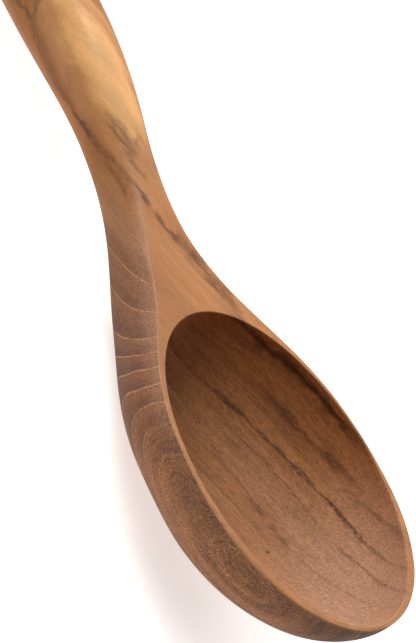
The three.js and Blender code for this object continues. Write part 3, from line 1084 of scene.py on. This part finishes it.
        # Painted highlight: a pale line along the crisp arris, where the rounded edge turns from side to
        # top.
        return tint(tree, self.product(self.arris(), ARRIS_HIGHLIGHT), base, tuple(wood.worn))

    def zones(self, *wavers):
        """The wood's colour out from the heart, with its bounds blurred along the fibres."""
        beyond = self.sum_up("MAXIMUM", self.aside, 0.0)
        radius = self.sum_up("MULTIPLY_ADD", beyond, LOPSIDED, self.radius)
        for waver, reach in wavers:
            radius = self.sum_up("MULTIPLY_ADD", waver, reach * MILLIMETRE, radius)
        place = self.sum_up("DIVIDE", radius, OUTERMOST * MILLIMETRE)
        node = put(self.tree, "ShaderNodeValToRGB", {0: place})
        node.color_ramp.interpolation = "EASE"
        stops = node.color_ramp.elements
        while len(stops) < len(COLOUR_ZONES):
            stops.new(0.5)
        for stop, (bound, name) in zip(stops, COLOUR_ZONES):
            stop.position = bound / OUTERMOST
            stop.color = getattr(self.wood, name)
        return node.outputs["Color"]


def coloured(nodes, finish, across, shades):
    """The colour of the wood: its zones, its rings, painted light and shade, and its streaks."""
    tree, wood, radius, phase = nodes.tree, nodes.wood, nodes.radius, nodes.rings["Phase"]
    deep_veins = nodes.product(shades["vein"], nodes.ramp(radius, *VEIN_RADII))
    base = nodes.zones((shades["broad"], BROAD_REACH), (deep_veins, VEIN_REACH))
    dense = nodes.ramp(radius, *DENSE_RADII, finish.layers, DENSE_LAYERS)
    late = nodes.product(nodes.ramp(phase, *LATE_PART), nodes.ramp(shades["patchy"], *LATE_PATCHES))
    hairs = nodes.product(nodes.ramp(shades["hair"], *HAIRS), nodes.ramp(shades["patchy"], *HAIR_PATCHES))
    late = nodes.either(late, nodes.ramp(shades["vein"], *VEINS), hairs)
    late = nodes.product(late, nodes.product(nodes.ramp(radius, *LAYER_RADII), dense))
    base = tint(tree, late, base, tuple(wood.late))
    # Painted sheen: the hollow is paled towards the bowl's tip.
    base = tint(tree, nodes.ramp(nodes.along, *PAINTED_SHEEN_STARTS, 0.0, finish.blush), base, tuple(wood.blush))

    inner_cut = nodes.ramp(radius, *CUT_RADII, finish.inner_end, 1.0)
    cut = nodes.product(across, inner_cut, nodes.ramp(nodes.along, *CUT_ENDS, 1.0, finish.far_end))
    outer = nodes.ramp(radius, *OUTER_RADII, 0.0, finish.bend)
    cut = nodes.either(cut, outer)
    outwards = nodes.ramp(radius, *TINT_RADII)
    end_grain = tint(tree, outwards, tuple(wood.end_grain), tuple(wood.outer_end_grain))
    base = tint(tree, cut, base, end_grain, "MULTIPLY")
    dusk = nodes.either(cut, nodes.product(outer, OUTER_DUSK))
    darkening = nodes.product(nodes.ramp(phase, *DUSK_PART), nodes.ramp(radius, *DUSK_RADII))
    base = tint(tree, nodes.product(darkening, dusk), base, tuple(wood.dusk), "MULTIPLY")
    if finish.worn:
        base = nodes.painted_light_and_shade(base, across, finish.worn)
    line = nodes.product(nodes.ramp(nodes.rings["Edge"], *RING_LINE), dusk)
    line = nodes.product(line, nodes.ramp(shades["patchy"], *LINE_PATCHES), nodes.ramp(radius, *LINE_RADII))
    base = tint(tree, line, base, tuple(wood.ring_line))

    dark = nodes.either(nodes.pin_hole(), *[nodes.streak(streak) for streak in STREAKS])
    far_side = nodes.product(nodes.ramp(nodes.aside, *FAR_SIDE), nodes.ramp(radius, *HEART_SIDE))
    dark = nodes.product(dark, nodes.sum_up("SUBTRACT", 1.0, far_side))
    return tint(tree, dark, base, tuple(wood.streak))


def oiled_wood(name, wood, groups, deck, finish):
    """One finish of the ladle's wood: rings, fibres, pores and streaks of one log, under satin oil."""
    material = bpy.data.materials.new(name)
    material.use_nodes = True
    tree = material.node_tree
    tree.nodes.clear()
    nodes = WoodNodes(tree, wood, groups, deck, finish)
    across = nodes.cut_across()
    fine = nodes.fibre(length=18, width=0.3, detail=3)
    shades = {
        "broad": nodes.fibre(length=110, width=5, detail=2),
        "patchy": nodes.fibre(length=26, width=4, detail=2),
        "vein": nodes.sheets(length=60, thickness=1.5, detail=3),
        "hair": nodes.sheets(length=35, thickness=0.4, detail=3),
    }
    base = coloured(nodes, finish, across, shades)

    planed = nodes.planed() if finish.worn else 0.0
    speckle = nodes.fibre(length=0.45, width=0.22, detail=1)
    flecks = nodes.product(speckle, nodes.ramp(planed, 0.0, 1.0, finish.coarse, PLANED_FLECKS))
    flecks = nodes.product(flecks, nodes.ramp(nodes.radius, *FLECK_RADII))
    mottle = nodes.fibre(length=1.9, width=0.7, detail=3)
    mottle = nodes.product(mottle, nodes.ramp(planed, 0.0, 1.0, finish.mottled, PLANED_MOTTLE))
    lines = nodes.product(fine, nodes.ramp(planed, *PLANED_LINES), nodes.ramp(nodes.along, *GRIP_SMOOTH))
    lines = nodes.sum_up("MULTIPLY_ADD", nodes.product(shades["patchy"], planed), PLANED_PATCHES, lines)
    grain = nodes.sum_up("ADD", mottle, nodes.sum_up("ADD", lines, 1.0))
    grain = nodes.sum_up("ADD", flecks, grain)
    grain = put(tree, "ShaderNodeCombineColor", {0: grain, 1: grain, 2: grain}).outputs[0]
    base = tint(tree, 1.0, base, grain, "MULTIPLY")
    pores = nodes.group(groups.pores, {"Log": nodes.log}).outputs["Mask"]
    early = nodes.ramp(nodes.rings["Phase"], *PORE_PART, finish.pores, finish.pores * LATE_PORES)
    pores = nodes.product(pores, early, nodes.ramp(nodes.along, *PORES_OPEN))
    base = tint(tree, pores, base, tuple(wood.pore))

    rough = nodes.sum_up("MULTIPLY_ADD", fine, FIBRE_ROUGHNESS, finish.roughness)
    rough = nodes.sum_up("MULTIPLY_ADD", across, CUT_ROUGHNESS, rough)
    rough = nodes.sum_up("MULTIPLY_ADD", pores, PORE_ROUGHNESS, rough)
    for change in (GRIP_POLISH, GRIP_DULL):
        rough = nodes.sum_up("ADD", rough, nodes.ramp(nodes.along, *change))
    height = nodes.sum_up("MULTIPLY_ADD", fine, FIBRE_HEIGHT, flecks)
    height = nodes.sum_up("SUBTRACT", height, pores)
    bump = {"Height": height, "Strength": BUMP_STRENGTH, "Distance": BUMP_DISTANCE}
    inputs = {
        "Base Color": base,
        "Roughness": rough,
        "Normal": put(tree, "ShaderNodeBump", bump).outputs["Normal"],
        "IOR": OIL_IOR,
        "Specular IOR Level": finish.sheen,
    }
    shader = put(tree, "ShaderNodeBsdfPrincipled", inputs)
    put(tree, "ShaderNodeOutputMaterial", {"Surface": shader.outputs["BSDF"]})
    return material


class LADLE_OT_carve(bpy.types.Operator):
    """Carves the ladle: its outside, its hollow and its wood."""

    bl_idname = "ladle.carve"
    bl_label = "Carve Ladle"

    def execute(self, context):
        shape = context.scene.ladle_shape
        carving = Carving(shape)
        wood = context.scene.ladle_wood
        ladle = carve_outside(carving)
        gouge = gouge_form(shape)
        groups = wood_groups()
        ladle.data.materials.append(oiled_wood("oiled_wood", wood, groups, carving.place(), OUTSIDE_FINISH))
        gouge.data.materials.append(oiled_wood("hollow_wood", wood, groups, carving.place(), HOLLOW_FINISH))
        cut_hollow(ladle, gouge)
        hand_finish(ladle, shape)
        ladle.matrix_world = carving.place()
        bpy.ops.object.transform_apply(location=True, rotation=True, scale=True)
        bpy.ops.object.shade_smooth_by_angle(angle=CRISP_ANGLE)
        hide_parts("ladle")
        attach(ladle, "root")
        return {"FINISHED"}


def lay_floor(stage):
    """A wide pale floor under the ladle."""
    deselect_all()
    bpy.ops.mesh.primitive_plane_add(size=stage.floor_size)
    floor = bpy.context.object
    floor.name = "pale_floor"
    material = bpy.data.materials.new("pale_floor")
    material.use_nodes = True
    tree = material.node_tree
    tree.nodes.clear()
    mirrored = put(tree, "ShaderNodeLightPath").outputs["Is Glossy Ray"]
    pale = Vector(stage.floor_colour)
    white = Vector((1, 1, 1, 1))
    inputs = {
        "Base Color": tint(tree, mirrored, pale, pale * stage.floor_mirrored),
        "Roughness": FLOOR_ROUGHNESS,
        "Emission Color": tint(tree, mirrored, white, white * stage.floor_mirrored),
        "Emission Strength": stage.floor_glow,
    }
    shader = put(tree, "ShaderNodeBsdfPrincipled", inputs)
    put(tree, "ShaderNodeOutputMaterial", {"Surface": shader.outputs["BSDF"]})
    floor.data.materials.append(material)


Light = namedtuple("Light", "name azimuth elevation power share")
PANELS = (
    Light("side_panel", 90, 20, "side_power", 0.5),
    Light("back_panel", 118, 22, "side_power", 0.5),
    Light("low_panel", 180, 20, "key_power", 0.13),
    Light("handle_panel", 183, 40, "key_power", 0.38),
    Light("front_panel", 210, 40, "key_power", 0.21),
    Light("top_panel", 225, 65, "key_power", 0.13),
    Light("fill_panel", 0, 65, "fill_power", 1),
)
SHEEN_LIGHT = Light("sheen_light", 120, 58, "sheen_power", 1)
GLINT_LIGHT = Light("glint_light", 174, 72, "glint_power", 1)


def hang_light(stage, light, across):
    """A soft square light, turned to the ladle from a distance."""
    turn = Euler((math.radians(90 - light.elevation), 0, math.radians(90 + light.azimuth)))
    away = turn.to_matrix() @ Vector((0, 0, stage.light_distance))
    deselect_all()
    bpy.ops.object.light_add(type="AREA", location=stage.lit_place + away, rotation=turn)
    lamp = bpy.context.object
    lamp.name = light.name
    lamp.data.shape = "RECTANGLE"
    lamp.data.size = lamp.data.size_y = across
    lamp.data.energy = getattr(stage, light.power) * light.share
    lamp.visible_camera = False
    return lamp


def hang_lights(stage):
    """Panels that light the wood, and two warmer lights that show only in its sheen."""
    for panel in PANELS:
        hang_light(stage, panel, stage.panel_size).visible_glossy = False
    for light, across in ((SHEEN_LIGHT, stage.sheen_size), (GLINT_LIGHT, stage.glint_size)):
        lamp = hang_light(stage, light, across)
        lamp.visible_diffuse = False
        lamp.data.color = stage.sheen_colour[:3]


def set_camera(stage, carving):
    """Stands the camera where the picture was taken."""
    bpy.ops.object.camera_add()
    camera = bpy.context.object
    turn = Matrix.Rotation(stage.view_azimuth, 4, "Z")
    turn @= Matrix.Rotation(math.pi / 2 - stage.view_elevation, 4, "X")
    turn @= Matrix.Rotation(stage.view_roll, 4, "Z")
    back = turn @ Matrix.Translation((0, 0, stage.view_distance))
    camera.matrix_world = carving.place() @ Matrix.Translation(stage.view_centre) @ back
    focal = stage.view_scale * stage.view_distance / MILLIMETRE
    camera.data.sensor_width = SENSOR_WIDTH
    camera.data.lens = focal * camera.data.sensor_width / PICTURE_LONG_SIDE
    camera.data.clip_end = VIEW_REACH
    bpy.context.scene.camera = camera


class LADLE_OT_stage(bpy.types.Operator):
    """Lays the floor, hangs the lights and stands the camera."""

    bl_idname = "ladle.stage"
    bl_label = "Set Stage"

    def execute(self, context):
        scene = context.scene
        stage = scene.ladle_stage
        lay_floor(stage)
        hang_lights(stage)
        world = bpy.data.worlds.new("White surroundings")
        world.use_nodes = True
        world.node_tree.nodes["Background"].inputs["Color"].default_value = stage.surroundings
        world.cycles_visibility.diffuse = False
        world.cycles_visibility.glossy = False
        scene.world = world
        scene.view_settings.view_transform = "Standard"
        set_camera(stage, Carving(scene.ladle_shape))
        return {"FINISHED"}


class LADLE_PT_sidebar(bpy.types.Panel):
    """Lists what the ladle is made with."""

    bl_idname = "LADLE_PT_sidebar"
    bl_label = "Wooden Ladle"
    bl_space_type = "VIEW_3D"
    bl_region_type = "UI"
    bl_category = "Ladle"

    def draw(self, context):
        for group in ("ladle_shape", "ladle_wood", "ladle_stage"):
            settings = getattr(context.scene, group)
            box = self.layout.box()
            for name in settings.bl_rna.properties.keys()[2:]:
                box.prop(settings, name)
        self.layout.operator(LADLE_OT_carve.bl_idname)
        self.layout.operator(LADLE_OT_stage.bl_idname)


CLASSES = (LadleShape, LadleWood, LadleStage, LADLE_OT_carve, LADLE_OT_stage, LADLE_PT_sidebar)


def register():
    for kind in CLASSES:
        bpy.utils.register_class(kind)
    bpy.types.Scene.ladle_shape = PointerProperty(type=LadleShape)
    bpy.types.Scene.ladle_wood = PointerProperty(type=LadleWood)
    bpy.types.Scene.ladle_stage = PointerProperty(type=LadleStage)


def unregister():
    del bpy.types.Scene.ladle_stage
    del bpy.types.Scene.ladle_wood
    del bpy.types.Scene.ladle_shape
    for kind in reversed(CLASSES):
        bpy.utils.unregister_class(kind)


def main():
    """Makes the whole scene."""
    register()
    bpy.ops.ladle.carve()
    bpy.ops.ladle.stage()


if __name__ == "__main__":
    main()
